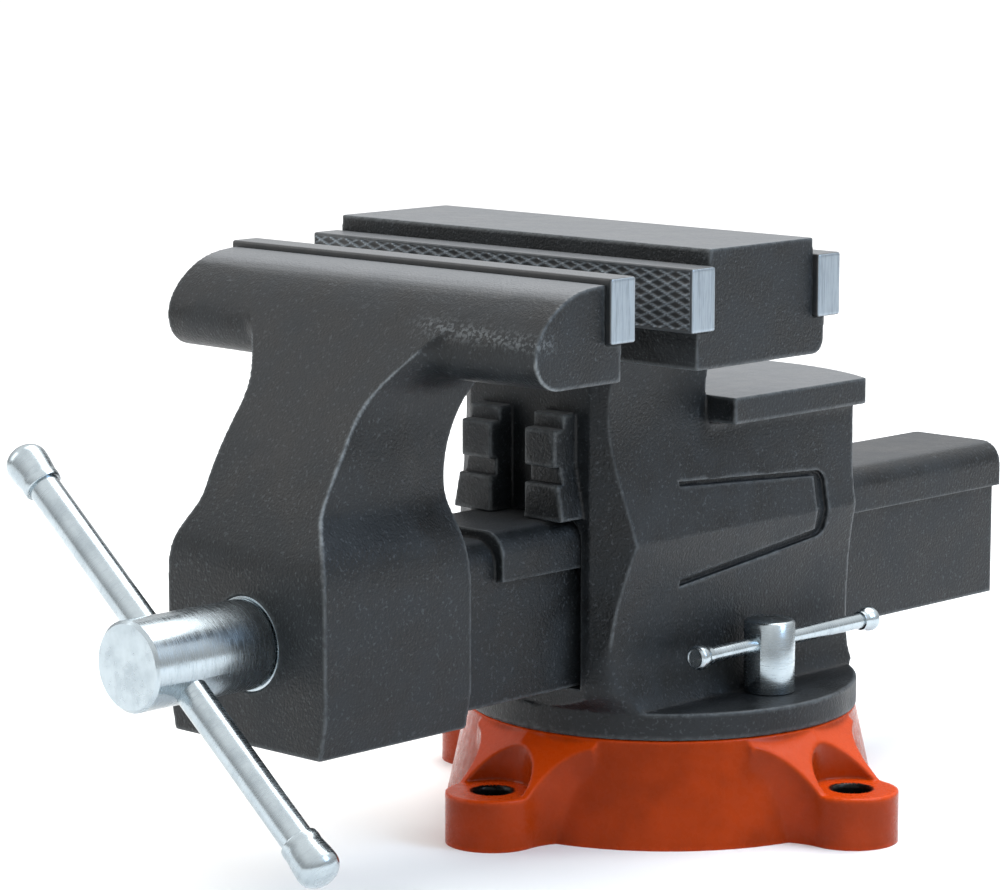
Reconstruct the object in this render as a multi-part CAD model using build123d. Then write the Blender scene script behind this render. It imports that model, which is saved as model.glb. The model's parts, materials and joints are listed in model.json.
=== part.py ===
from build123d import *
import math
import os

os.makedirs("parts", exist_ok=True)

# Reversible combination bench vise on a 360-degree swivel base.
# Frame: origin at the swivel centre on the bench, +X across the jaws to the right as seen from the
# spindle, +Y from the spindle end to the rear, +Z up. Millimetres.
# Every size below can be changed by itself; the rest of the file works the other values out.
# Heights of the jaws, the bar and the body are above the top of the swivel disc.

# ---- clearances ----
SLIDE_GAP = 0.35       # between the slide bar and its tunnel, on every side
SWIVEL_GAP = 0.3       # between faces that turn on each other
BEARING_GAP = 0.06     # radial, a shaft in its bore
SCREW_GAP = 0.05       # radial, a fixed screw in its hole
COLLAR_GAP = 0.5       # radial, the spindle's collar in the bar's channel
CLAMP_GAP = 0.7        # radial, the clamp plate in the base's cavity

# ---- jaws ----
PLATE_LENGTH = 165.0
PLATE_THICK = 11.0
PLATE_BOTTOM = 128.4
PLATE_HEIGHT = 19.8
PLATE_OVERHANG = 2.3   # plate past the casting at each end
PLATE_EASE = 0.5       # broken edges of the ground plates
JAW_OPENING = 25.3     # gap between the plates as drawn
HEAD_BOTTOM = 116.5    # underside of both jaws
HEAD_FRONT = -70.05    # seat of the front plate on the fixed jaw
HEAD_DEPTH = 49.1
HEAD_RISE = 5.1        # fixed jaw's top above its plates
LEDGE_REACH = 5.9      # shelf under each plate, out from its seat
HEAD_REAR_ROUND = 5.0
BEAM_DROP = 2.0        # moving jaw's top below its plate
BEAM_NOSE = 29.9       # moving jaw's nose, out from its seat
NOSE_HEIGHT = 128.3    # widest point of the nose
NOSE_UNDER = 19.0      # where the rounded nose meets the flat underside, out from the seat

# ---- jaw plate screws ----
PLATE_SCREW_X = 45.0
PLATE_SCREW_UP = 9.0       # above the plate's lower edge
PLATE_SCREW_R = 4.0
PLATE_SCREW_HEAD_R = 6.5
PLATE_SCREW_HEAD_DEEP = 5.0
PLATE_SCREW_GRIP = 13.0    # threaded length in the casting
PLATE_SCREW_KEY = 5.0      # hexagon socket, across flats
PLATE_HEAD_SINK = 2.2      # screw head below the plate's face

# ---- moving jaw's block and neck ----
BLOCK_AHEAD = 71.45        # block's front, ahead of the moving jaw's seat
BLOCK_DEPTH = 62.0
BLOCK_BOTTOM = 6.6
BLOCK_FOOT_HALF = 32.0
BLOCK_HALF = 34.5
BLOCK_FOOT_DRAFT = 12.0    # height over which the foot widens to the block
BLOCK_SHOULDER = 51.0      # height where the neck starts to draw in
NECK_HALF = 22.9
NECK_LOW = 87.5            # lower end of the neck's narrowest stretch
NECK_HIGH = 101.8          # upper end of the same
NECK_FLARE_HALF = 33.6     # half width where the neck runs into the jaw
NECK_FLARE_HEIGHT = 122.8
NECK_SPREAD_HALF = 72.0    # half width where the neck's front fades out at the jaw's top
NECK_LEAN_HEIGHT = 64.5    # height where the front starts to lean back
NECK_LEAN = 0.617          # how far the front leans back per millimetre of height
NECK_LEAN_ROUND = 7.0      # half height of the rounding there
BLOCK_WALL = 18.8          # front wall that carries the spindle
COUNTERBORE_DEEP = 2.5
PIPE_NOTCH_DEEP = 2.6
PIPE_NOTCH_HALF = 17.0

# ---- slide bar ----
BAR_BOTTOM = 7.65
BAR_LENGTH = 285.5         # behind the block
BAR_ROOF = 9.8             # metal over the channel
BAR_WALL = 5.4             # metal beside the channel, below the rails
BAR_CORNER = 7.9           # radius of the rails' top corners
RAIL_OUT = 3.2             # rails, out from the web
RAIL_TALL = 15.6
RAIL_START = 26.5          # rails begin this far behind the block
BAR_NECK_DROP = 3.0        # top of the bar in front of the rails
CHANNEL_ROOM = 1.9         # channel's roof above the collar
BAR_END_WALL = 8.0

# ---- spindle, its nut and its handle ----
SPINDLE_Z = 37.8
SPINDLE_R = 10.0
SPINDLE_LENGTH = 378.3
HEAD_R = 13.8
HEAD_REACH = 46.5          # spindle head's front face, ahead of the block
HEAD_EASE = 1.0
WASHER_THICK = 2.2
WASHER_LAP = 0.8           # washer's edge past the head
COLLAR_THICK = 10.0
COLLAR_WALL = 3.1
COLLAR_PIN_R = 2.5
NUT_FRONT = -28.0
NUT_LENGTH = 50.0
NUT_ROOF = 2.0             # nut metal over the spindle
NUT_SCREW_R = 5.0
NUT_SCREW_HEAD_R = 8.0
NUT_SCREW_HEAD_TALL = 9.0
NUT_SCREW_SPACING = 28.0
NUT_SCREW_KEY = 8.0
NUT_WASHER_THICK = 1.8
NUT_HEAD_SINK = 1.0        # nut screws' heads above the spigot's face
NUT_FLOOR_LEFT = 8.0       # nut metal left between the screw tips and the spindle
HANDLE_SET = 15.8          # handle's axis behind the head's front face
HANDLE_R = 5.0
HANDLE_SPAN = 157.4        # between the knob centres
HANDLE_TURN = 39.1         # degrees below +X as drawn
KNOB_WALL = 1.0            # knob's rim around the rod
KNOB_SWELL = 0.75          # knob's widest place past its rim
KNOB_LENGTH = 15.0
KNOB_SOCKET = 9.0

# ---- body ----
DISC_R = 65.4
DISC_THICK = 8.7
BODY_SETBACK = 5.25        # body's front behind the fixed jaw's seat
BODY_DEPTH = 120.3
WALL_FOOT = 16.3           # wall beside the slide bar where it meets the disc
WALL_WAIST_THICK = 11.3
WALL_WAIST = 17.8
WALL_RIDGE_THICK = 17.1
WALL_RIDGE = 54.8
WALL_NECK = 9.4            # fixed jaw's neck, out from the slide bar
WALL_FLARE = 14.8          # the same, under the jaw
WALL_REAR_WAIST = 12.8     # the waist at the body's rear
WALL_REAR_RIDGE = 16.4     # the ridge there
WALL_REAR_TOP = 13.5       # and the wall under the anvil
SKIRT_SLOPE = 0.9          # how fast the walls' foot spreads past the disc's edge
EDGE_CUT_WIDE = 13.3       # width of the sloping front corners at the ridge
EDGE_CUT_LOW = 0.12        # slope of the front corners at the disc
EDGE_CUT_HIGH = 0.62       # slope of the front corners at the ridge and above
ANVIL_TOP = 98.4
ANVIL_THICK = 8.8
ANVIL_HALF = 43.9
ANVIL_SETBACK = 6.35       # anvil's front behind the fixed jaw's rear seat
ANVIL_LENGTH = 79.6
ANVIL_SWEEP = 86.0         # radius of its rear edge
PIPE_IN = 7.4              # pipe-jaw ribs, from here
PIPE_OUT = 20.4            # to here, either side of the centre
PIPE_REACH = 10.2
PIPE_TOP = 92.0
PIPE_FLARE = 3.6
PIPE_GROOVE_Z = 74.5
PIPE_GROOVE_TALL = 5.3
PIPE_GROOVE_DEEP = 2.8
PIPE_STEP_TALL = 4.6
PIPE_STEP_DEEP = 4.3
FRAME_GROOVE_DEEP = 2.0    # cast outline on the sides
FRAME_FRONT = -32.0
FRAME_REAR = 40.5
FRAME_TOP_FRONT = 72.2
FRAME_TOP_REAR = 68.0
FRAME_LOW_REAR = 46.4
FRAME_LOW_FRONT = 38.0
FRAME_CORNER = 5.0
FRAME_LINE = 1.5
FRAME_END_LINE = 6.0

# ---- swivel and its locks ----
BASE_HEIGHT = 34.2
DISC_LIP = 0.4             # disc's edge past the base's rim
BASE_SPREAD = 7.4          # base's foot past its rim
BASE_WALL = 4.0
LIP_THICK = 8.0
SPIGOT_DEEP = 6.0
LUG_COUNT = 4
LUG_OUT = 9.4              # bolt holes out from the base's foot
LUG_R = 15.3
LUG_HEIGHT = 16.9
LUG_BLEND = 19.0
LUG_ROOT = 1.5             # how deep the blended outline starts inside the cone
LUG_HOLE_R = 6.0
LUG_HOLE_EASE = 0.8
POCKET_R = 12.6            # room for a washer and a spanner
GUSSET_REACH = 26.0        # half width of a gusset at the rim
GUSSET_TOE_HALF = 14.0
CLAMP_LAP = 7.8            # clamp plate under the base's lip
CLAMP_INSIDE = 5.85        # clamp plate inside its bolt holes
CLAMP_THICK = 9.0
LOCK_EDGE = 0.75           # lock bolts' inset from the base's bore
LOCK_Y = 1.5
LOCK_HEAD_R = 8.4
LOCK_HEAD_TALL = 24.1
LOCK_R = 5.95
LOCK_TAIL = 3.0            # bolt past the clamp plate
LOCK_BAR_UP = 16.5         # bar's axis above the disc
LOCK_BAR_R = 2.6
LOCK_BAR_MIDDLE = 9.85     # middle of the bar as drawn
LOCK_BAR_SPAN = 84.7       # between the knob centres
LOCK_KNOB_WALL = 1.5
LOCK_KNOB_LENGTH = 7.0
LOCK_KNOB_SOCKET = 4.5
LOCK_POCKET_GAP = 0.8      # spot face around each lock bolt

# ---- worked-out places ----
disc_bottom = BASE_HEIGHT + SWIVEL_GAP
disc_top = disc_bottom + DISC_THICK
spigot_bottom = disc_bottom - SPIGOT_DEEP

plate_bottom = disc_top + PLATE_BOTTOM
plate_top = plate_bottom + PLATE_HEIGHT
plate_screw_z = plate_bottom + PLATE_SCREW_UP
head_bottom = disc_top + HEAD_BOTTOM
nose_height = disc_top + NOSE_HEIGHT
beam_top = plate_top - BEAM_DROP
casting_half = PLATE_LENGTH / 2 - PLATE_OVERHANG
head_rear = HEAD_FRONT + HEAD_DEPTH
fixed_face = HEAD_FRONT - PLATE_THICK
moving_face = fixed_face - JAW_OPENING
moving_seat = moving_face - PLATE_THICK

block_front = moving_seat - BLOCK_AHEAD
block_rear = block_front + BLOCK_DEPTH
chamber_front = block_front + BLOCK_WALL
block_bottom = disc_top + BLOCK_BOTTOM
block_shoulder = disc_top + BLOCK_SHOULDER
neck_low = disc_top + NECK_LOW
neck_high = disc_top + NECK_HIGH
neck_lean_z = disc_top + NECK_LEAN_HEIGHT
neck_flare_z = disc_top + NECK_FLARE_HEIGHT

spindle_z = disc_top + SPINDLE_Z
spindle_face = block_front - HEAD_REACH
spindle_end = spindle_face + SPINDLE_LENGTH
collar_r = SPINDLE_R + COLLAR_WALL
washer_r = HEAD_R + WASHER_LAP
handle_y = spindle_face + HANDLE_SET
knob_neck_r = HANDLE_R + KNOB_WALL
knob_r = knob_neck_r + KNOB_SWELL

channel_half = collar_r + COLLAR_GAP
channel_top = spindle_z + collar_r + CHANNEL_ROOM
bar_top = channel_top + BAR_ROOF
bar_bottom = disc_top + BAR_BOTTOM
bar_web_half = channel_half + BAR_WALL
bar_half = bar_web_half + RAIL_OUT
bar_rear = block_rear + BAR_LENGTH
rail_bottom = bar_top - RAIL_TALL
rail_front = block_rear + RAIL_START
tunnel_floor = bar_bottom - SLIDE_GAP

nut_top = spindle_z + SPINDLE_R + NUT_ROOF
nut_middle = NUT_FRONT + NUT_LENGTH / 2
nut_screw_ys = (nut_middle - NUT_SCREW_SPACING / 2, nut_middle + NUT_SCREW_SPACING / 2)
nut_screw_seat = spigot_bottom + NUT_SCREW_HEAD_TALL + NUT_WASHER_THICK + NUT_HEAD_SINK
nut_screw_tip = spindle_z - SPINDLE_R - NUT_FLOOR_LEFT

body_front = HEAD_FRONT + BODY_SETBACK
body_rear = body_front + BODY_DEPTH
wall_foot_half = bar_half + WALL_FOOT
wall_waist_half = bar_half + WALL_WAIST_THICK
wall_ridge_half = bar_half + WALL_RIDGE_THICK
wall_neck_half = bar_half + WALL_NECK
wall_flare_half = bar_half + WALL_FLARE
wall_rear_waist = bar_half + WALL_REAR_WAIST
wall_rear_ridge = bar_half + WALL_REAR_RIDGE
wall_rear_top = bar_half + WALL_REAR_TOP
wall_waist = disc_top + WALL_WAIST
wall_ridge = disc_top + WALL_RIDGE
anvil_top = disc_top + ANVIL_TOP
anvil_bottom = anvil_top - ANVIL_THICK
anvil_front = head_rear + ANVIL_SETBACK
anvil_rear = anvil_front + ANVIL_LENGTH
pipe_top = disc_top + PIPE_TOP
pipe_groove_z = disc_top + PIPE_GROOVE_Z
frame_top_front = disc_top + FRAME_TOP_FRONT
frame_top_rear = disc_top + FRAME_TOP_REAR
frame_low_rear = disc_top + FRAME_LOW_REAR
frame_low_front = disc_top + FRAME_LOW_FRONT

base_rim_r = DISC_R - DISC_LIP
base_foot_r = base_rim_r + BASE_SPREAD
cavity_r = base_rim_r - BASE_WALL
clamp_r = cavity_r - CLAMP_GAP
base_bore_r = clamp_r - CLAMP_LAP
lug_radius = base_foot_r + LUG_OUT
lock_x = base_bore_r - LOCK_EDGE - LOCK_R
clamp_bore_r = lock_x - LOCK_R - CLAMP_INSIDE
clamp_top = BASE_HEIGHT - LIP_THICK - SWIVEL_GAP
clamp_bottom = clamp_top - CLAMP_THICK
lock_seat = disc_top + SWIVEL_GAP
lock_bar_z = disc_top + LOCK_BAR_UP
lock_knob_r = LOCK_BAR_R + LOCK_KNOB_WALL
BIG = 400.0


def bar(radius, start, end, axis="z", at=(0, 0)):
    """A round bar between two places on an axis; `at` gives the other two coordinates in order."""
    length = end - start
    solid = Cylinder(radius, length, align=(Align.CENTER, Align.CENTER, Align.MIN))
    if axis == "z":
        return Pos(at[0], at[1], start) * solid
    if axis == "y":
        return Pos(at[0], start, at[1]) * Rot(-90, 0, 0) * solid
    return Pos(start, at[0], at[1]) * Rot(0, 90, 0) * solid


def block(x, y, z):
    """A box from pairs of limits."""
    size = (x[1] - x[0], y[1] - y[0], z[1] - z[0])
    return Pos(x[0], y[0], z[0]) * Box(*size, align=(Align.MIN, Align.MIN, Align.MIN))


def face_of(*edges):
    """A flat face from its edges, turned so that it faces up its plane's axis."""
    face = Face(Wire(edges))
    return face if face.normal_at().Z > 0 else -face


def run_y(outline, start, end):
    """Carry an outline drawn in X and Z along Y."""
    return extrude(Plane.XZ.offset(-end) * outline, amount=end - start)


def run_x(outline, start, end):
    """Carry an outline drawn in Y and Z along X."""
    return extrude(Plane.YZ.offset(start) * outline, amount=end - start)


def mirrored_outline(half_edges, bottom, top):
    """Close a right-hand half outline with its mirror image; it starts at z bottom and ends at z top."""
    left = [edge.mirror(Plane.YZ) for edge in half_edges]
    first = half_edges[0] @ 0
    last = half_edges[-1] @ 1
    foot = Line((-first.X, bottom), (first.X, bottom))
    cap = Line((last.X, top), (-last.X, top))
    return face_of(foot, *half_edges, cap, *left)


def hex_socket(across, depth):
    """A hexagon prism that stands on z = 0."""
    return extrude(RegularPolygon(across / 2, 6, major_radius=False), amount=depth)


# ---- jaw plates and their screws ----

def plate_screws(seat, outward):
    """Two socket screws that hold a plate on a seat; outward is the way the plate faces, -1 or +1."""
    head_face = PLATE_THICK - PLATE_HEAD_SINK
    screws = []
    for x in (-PLATE_SCREW_X, PLATE_SCREW_X):
        screw = bar(PLATE_SCREW_R, -PLATE_SCREW_GRIP, head_face - PLATE_SCREW_HEAD_DEEP)
        screw += bar(PLATE_SCREW_HEAD_R, head_face - PLATE_SCREW_HEAD_DEEP, head_face)
        screw -= Pos(0, 0, head_face - 3) * hex_socket(PLATE_SCREW_KEY, 4)
        turn = Rot(90, 0, 0) if outward < 0 else Rot(-90, 0, 0)
        screws.append(Pos(x, seat, plate_screw_z) * turn * screw)
    return screws


def plate_screw_holes(seat, outward):
    """The holes that those screws need, in the plate and in the casting."""
    holes = None
    for x in (-PLATE_SCREW_X, PLATE_SCREW_X):
        deep = seat - outward * (PLATE_SCREW_GRIP + 2)
        out = seat + outward * (PLATE_THICK + 5)
        shoulder = seat + outward * (PLATE_THICK - PLATE_HEAD_SINK - PLATE_SCREW_HEAD_DEEP)
        hole = bar(PLATE_SCREW_R + SCREW_GAP, min(deep, out), max(deep, out), "y", (x, plate_screw_z))
        hole += bar(PLATE_SCREW_HEAD_R + SCREW_GAP, min(shoulder, out), max(shoulder, out), "y",
                    (x, plate_screw_z))
        holes = hole if holes is None else holes + hole
    return holes


def jaw_plate(seat, outward):
    """A hardened plate with broken edges, on its seat."""
    near, far = sorted((seat, seat + outward * PLATE_THICK))
    plate = block((-PLATE_LENGTH / 2, PLATE_LENGTH / 2), (near, far), (plate_bottom, plate_top))
    plate = chamfer(plate.edges(), PLATE_EASE)
    return plate - plate_screw_holes(seat, outward)


# ---- moving jaw with its slide bar ----

def moving_beam():
    """The bar-shaped jaw: flat seat and shelf behind, rounded nose in front."""
    shelf = moving_seat + LEDGE_REACH + 1.2
    nose = moving_seat - BEAM_NOSE
    under = moving_seat - NOSE_UNDER
    middle = (moving_seat - 0.72 * BEAM_NOSE, beam_top - 6.1)
    points = [(moving_seat, beam_top), middle, (nose, nose_height), (under, head_bottom)]
    front = Spline(*points, tangents=[(-1, 0), (1, 0)])
    back = Polyline((under, head_bottom), (shelf, head_bottom), (shelf, plate_bottom),
                    (moving_seat, plate_bottom), (moving_seat, beam_top))
    return run_x(face_of(front, *back.edges()), -casting_half, casting_half)


def neck_front_view():
    """Width of block and neck: straight block, drawn-in neck, flare into the jaw."""
    foot = block_bottom + BLOCK_FOOT_DRAFT
    drop = BLOCK_HALF - NECK_HALF
    rise = neck_low - block_shoulder
    edges = [
        Line((BLOCK_FOOT_HALF, block_bottom), (BLOCK_HALF, foot)),
        Line((BLOCK_HALF, foot), (BLOCK_HALF, block_shoulder)),
        Spline((BLOCK_HALF, block_shoulder), (BLOCK_HALF - 0.37 * drop, block_shoulder + 0.46 * rise),
               (BLOCK_HALF - 0.91 * drop, block_shoulder + 0.73 * rise), (NECK_HALF, neck_low),
               tangents=[(0, 1), (0, 1)]),
        Line((NECK_HALF, neck_low), (NECK_HALF, neck_high)),
        Spline((NECK_HALF, neck_high), (NECK_HALF + 0.24 * (NECK_FLARE_HALF - NECK_HALF),
                                        neck_high + 0.52 * (neck_flare_z - neck_high)),
               (NECK_FLARE_HALF, neck_flare_z), (NECK_SPREAD_HALF, beam_top), tangents=[(0, 1), (1, 0.3)]),
    ]
    return mirrored_outline(edges, block_bottom, beam_top)


def neck_side_view():
    """Front: upright block, then a lean back into the nose. Rear: upright, then an arch under the jaw."""
    round_low = (block_front, neck_lean_z - NECK_LEAN_ROUND)
    round_high = (block_front + NECK_LEAN * NECK_LEAN_ROUND, neck_lean_z + NECK_LEAN_ROUND)
    lean_end = (block_front + NECK_LEAN * (neck_flare_z - neck_lean_z), neck_flare_z)
    arch_start = 0.5 * (bar_top + head_bottom) - 6
    shelf = moving_seat + LEDGE_REACH + 1.2
    crown = (moving_seat - 8.0, beam_top - 0.8)
    front = [
        Line((block_front, block_bottom), round_low),
        Spline(round_low, round_high, tangents=[(0, 1), (NECK_LEAN, 1)]),
        Line(round_high, lean_end),
        Spline(lean_end, crown, tangents=[(NECK_LEAN, 1), (1, 0.12)]),
        Line(crown, (moving_seat, beam_top - 0.8)),
        Line((moving_seat, beam_top - 0.8), (moving_seat, head_bottom + 2)),
        Line((moving_seat, head_bottom + 2), (shelf, head_bottom + 2)),
        Line((shelf, head_bottom + 2), (shelf, head_bottom)),
        Spline((shelf, head_bottom), (block_rear + 8.8, head_bottom - 9), (block_rear, arch_start),
               tangents=[(-1, -0.8), (0, -1)]),
        Line((block_rear, arch_start), (block_rear, block_bottom)),
        Line((block_rear, block_bottom), (block_front, block_bottom)),
    ]
    return face_of(*front)


def half_bar(half, top):
    """Right half of the bar's outline above the rails' foot: upright side, rounded top corner."""
    return [
        Line((half, rail_bottom), (half, top - BAR_CORNER)),
        RadiusArc((half, top - BAR_CORNER), (half - BAR_CORNER, top), -BAR_CORNER),
    ]


def slide_bar():
    """The long bar: rails on a narrower web, hollow and open below for the nut."""
    start = block_rear - 5
    rails = run_y(mirrored_outline(half_bar(bar_half, bar_top), rail_bottom, bar_top), rail_front, bar_rear)
    plain_top = bar_top - BAR_NECK_DROP
    plain = run_y(mirrored_outline(half_bar(bar_web_half, plain_top), rail_bottom, plain_top),
                  start, rail_front + 1)
    web = block((-bar_web_half, bar_web_half), (start, bar_rear), (bar_bottom, rail_bottom + 1))
    return rails + plain + web


def pipe_notches():
    """Toothed recess in the back of the moving neck, opposite the fixed pipe-jaw ribs."""
    tooth = PIPE_GROOVE_TALL
    teeth = None
    for row in range(3):
        z = pipe_groove_z + row * (tooth + 1.2)
        groove = Polyline((block_rear - PIPE_NOTCH_DEEP, z + tooth / 2), (block_rear + 1, z),
                          (block_rear + 1, z + tooth), close=True)
        cut = run_x(face_of(*groove.edges()), -PIPE_NOTCH_HALF, PIPE_NOTCH_HALF)
        teeth = cut if teeth is None else teeth + cut
    return teeth


def moving_jaw():
    """One casting: jaw, neck, block and slide bar."""
    neck = run_y(neck_front_view(), block_front - 1, block_rear + 40)
    neck &= run_x(neck_side_view(), -BIG / 2, BIG / 2)
    casting = moving_beam() + neck + slide_bar()
    casting -= block((-channel_half, channel_half), (chamber_front, bar_rear - BAR_END_WALL),
                     (block_bottom - 1, channel_top))
    casting -= bar(SPINDLE_R + BEARING_GAP, block_front - 1, chamber_front + 1, "y", (0, spindle_z))
    casting -= bar(washer_r + SCREW_GAP, block_front - 1, block_front + COUNTERBORE_DEEP, "y",
                   (0, spindle_z))
    casting -= plate_screw_holes(moving_seat, 1)
    return casting - pipe_notches()


# ---- spindle, collar, nut and handle ----

def spindle_screw():
    """Head with a cross hole for the handle, and the shank that runs in the nut."""
    head_back = block_front + COUNTERBORE_DEEP - WASHER_THICK - SWIVEL_GAP * 2
    head = chamfer(bar(HEAD_R, spindle_face, head_back, "y", (0, spindle_z)).edges().group_by(Axis.Y)[0],
                   HEAD_EASE)
    screw = head + bar(SPINDLE_R, head_back - 1, spindle_end, "y", (0, spindle_z))
    screw -= handle_place() * Rot(0, 90, 0) * Cylinder(HANDLE_R + BEARING_GAP, BIG / 4)
    return screw - collar_pin_hole()


def collar_y():
    front = chamber_front + SWIVEL_GAP
    return front, front + COLLAR_THICK


def collar_pin_hole():
    middle = sum(collar_y()) / 2
    return bar(COLLAR_PIN_R, spindle_z - BIG / 4, spindle_z + BIG / 4, "z", (0, middle))


def spindle_collar():
    """Collar behind the block's wall, so that unscrewing pulls the jaw open."""
    front, rear = collar_y()
    ring = bar(collar_r, front, rear, "y", (0, spindle_z))
    ring -= bar(SPINDLE_R, front - 1, rear + 1, "y", (0, spindle_z))
    return ring - collar_pin_hole()


def collar_pin():
    """Cross pin that fixes the collar on the shank."""
    reach = collar_r - 1.0
    return bar(COLLAR_PIN_R, spindle_z - reach, spindle_z + reach, "z", (0, sum(collar_y()) / 2))


def thrust_washer():
    """Washer in the block's counterbore, under the spindle head."""
    seat = block_front + COUNTERBORE_DEEP
    ring = bar(washer_r, seat - WASHER_THICK, seat, "y", (0, spindle_z))
    return ring - bar(SPINDLE_R + BEARING_GAP, seat - WASHER_THICK - 1, seat + 1, "y", (0, spindle_z))


def spindle_nut():
    """Nut block that stands on the body's floor, inside the hollow bar."""
    half = channel_half - SLIDE_GAP
    rear = NUT_FRONT + NUT_LENGTH
    nut = block((-half, half), (NUT_FRONT, rear), (tunnel_floor, nut_top))
    nut = chamfer(nut.edges().filter_by(Axis.Y).group_by(Axis.Z)[-1], 4)
    nut -= bar(SPINDLE_R + BEARING_GAP, NUT_FRONT - 1, rear + 1, "y", (0, spindle_z))
    for y in nut_screw_ys:
        nut -= bar(NUT_SCREW_R + SCREW_GAP, tunnel_floor - 1, nut_screw_tip + 1, "z", (0, y))
    return nut


def nut_screws():
    """Two socket screws from below the body into the nut."""
    screws = []
    for y in nut_screw_ys:
        seat = nut_screw_seat - NUT_WASHER_THICK
        screw = bar(NUT_SCREW_R, seat, nut_screw_tip, "z", (0, y))
        screw += bar(NUT_SCREW_HEAD_R, seat - NUT_SCREW_HEAD_TALL, seat, "z", (0, y))
        screw -= Pos(0, y, seat - NUT_SCREW_HEAD_TALL) * hex_socket(NUT_SCREW_KEY, 5)
        screws.append(screw)
    return screws


def nut_washers():
    """A washer under each of those screw heads."""
    washers = []
    for y in nut_screw_ys:
        ring = bar(NUT_SCREW_HEAD_R + 0.8, nut_screw_seat - NUT_WASHER_THICK, nut_screw_seat, "z", (0, y))
        washers.append(ring - bar(NUT_SCREW_R + SCREW_GAP, 0, BASE_HEIGHT * 2, "z", (0, y)))
    return washers


def handle_place():
    """Handle frame: its X axis runs along the rod."""
    return Pos(0, handle_y, spindle_z) * Rot(0, HANDLE_TURN, 0)


def handle_rod():
    half = HANDLE_SPAN / 2 - KNOB_LENGTH / 2 + KNOB_SOCKET
    return handle_place() * bar(HANDLE_R, -half, half, "x")


def handle_knob(side):
    """Barrel-shaped knob with a flat end, pressed on the rod; side is -1 or +1."""
    half = KNOB_LENGTH / 2
    profile = face_of(
        Line((-half, 0), (-half, knob_neck_r - 0.8)),
        Line((-half, knob_neck_r - 0.8), (-half + 0.8, knob_neck_r)),
        Spline((-half + 0.8, knob_neck_r), (1.0, knob_r - 0.35), (half - 3.0, knob_r)),
        Line((half - 3.0, knob_r), (half - 1.5, knob_r)),
        Line((half - 1.5, knob_r), (half, knob_r - 1.5)),
        Line((half, knob_r - 1.5), (half, 0)),
        Line((half, 0), (-half, 0)),
    )
    knob = revolve(profile, Axis.X)
    knob -= bar(HANDLE_R, -half - 1, -half + KNOB_SOCKET, "x")
    place = handle_place() if side > 0 else handle_place() * Rot(0, 180, 0)
    return place * Pos(HANDLE_SPAN / 2, 0, 0) * knob


# ---- body ----

def body_section(waist, ridge, neck, flare):
    """Width of the body at one place: flared foot, waist, ridge, then the neck or the upper wall."""
    lower = Spline((wall_foot_half, disc_top), (waist, wall_waist), (ridge, wall_ridge),
                   tangents=[(-1, 1.2), (0.22, 1)])
    upper = Spline((ridge, wall_ridge), (neck, anvil_top + 4), (flare, head_bottom),
                   tangents=[(-0.22, 1), (1.2, 1)])
    return mirrored_outline([lower, upper], disc_top, head_bottom)


def body_walls():
    """The body without its tunnel: a slim neck in front that widens to the rear under the anvil."""
    front = body_section(wall_waist_half, wall_ridge_half, wall_neck_half, wall_flare_half)
    rear = body_section(wall_rear_waist, wall_rear_ridge, wall_rear_top, wall_rear_top + 1)
    widening = loft([Plane.XZ.offset(-anvil_front) * front, Plane.XZ.offset(-body_rear) * rear])
    return run_y(front, body_front, anvil_front) + widening


def front_corner_cut(side):
    """Wedge that slopes a front corner back, more at the ridge than at the disc."""
    start = wall_ridge_half - EDGE_CUT_WIDE
    end = wall_ridge_half + 20

    def triangle(slope):
        corners = [(start, body_front), (end, body_front + slope * (end - start)), (end, body_front - 5),
                   (start, body_front - 5)]
        return face_of(*Polyline(*[(side * x, y) for x, y in corners], close=True).edges())

    low = Pos(0, 0, disc_top) * triangle(EDGE_CUT_LOW)
    mid = Pos(0, 0, wall_ridge) * triangle(EDGE_CUT_HIGH)
    high = Pos(0, 0, head_bottom) * triangle(EDGE_CUT_HIGH)
    return loft([low, mid], ruled=True) + loft([mid, high], ruled=True)


def fixed_jaw_head():
    """Block of the fixed jaw, with a seat and a shelf for a plate on both sides."""
    front_shelf = HEAD_FRONT - LEDGE_REACH
    rear_shelf = head_rear + LEDGE_REACH
    top = plate_top + HEAD_RISE
    points = [(front_shelf, head_bottom), (rear_shelf - HEAD_REAR_ROUND, head_bottom)]
    rounded = RadiusArc(points[1], (rear_shelf, head_bottom + HEAD_REAR_ROUND), -HEAD_REAR_ROUND)
    rest = Polyline((rear_shelf, head_bottom + HEAD_REAR_ROUND), (rear_shelf, plate_bottom),
                    (head_rear, plate_bottom), (head_rear, top), (HEAD_FRONT, top),
                    (HEAD_FRONT, plate_bottom), (front_shelf, plate_bottom), points[0])
    return run_x(face_of(Line(*points), rounded, *rest.edges()), -casting_half, casting_half)


def anvil():
    """Flat anvil behind the fixed jaw's neck, with a bowed rear edge."""
    plate = block((-ANVIL_HALF, ANVIL_HALF), (anvil_front, anvil_rear + 1), (anvil_bottom, anvil_top))
    return plate & bar(ANVIL_SWEEP, anvil_bottom, anvil_top, "z", (0, anvil_rear - ANVIL_SWEEP))


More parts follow.
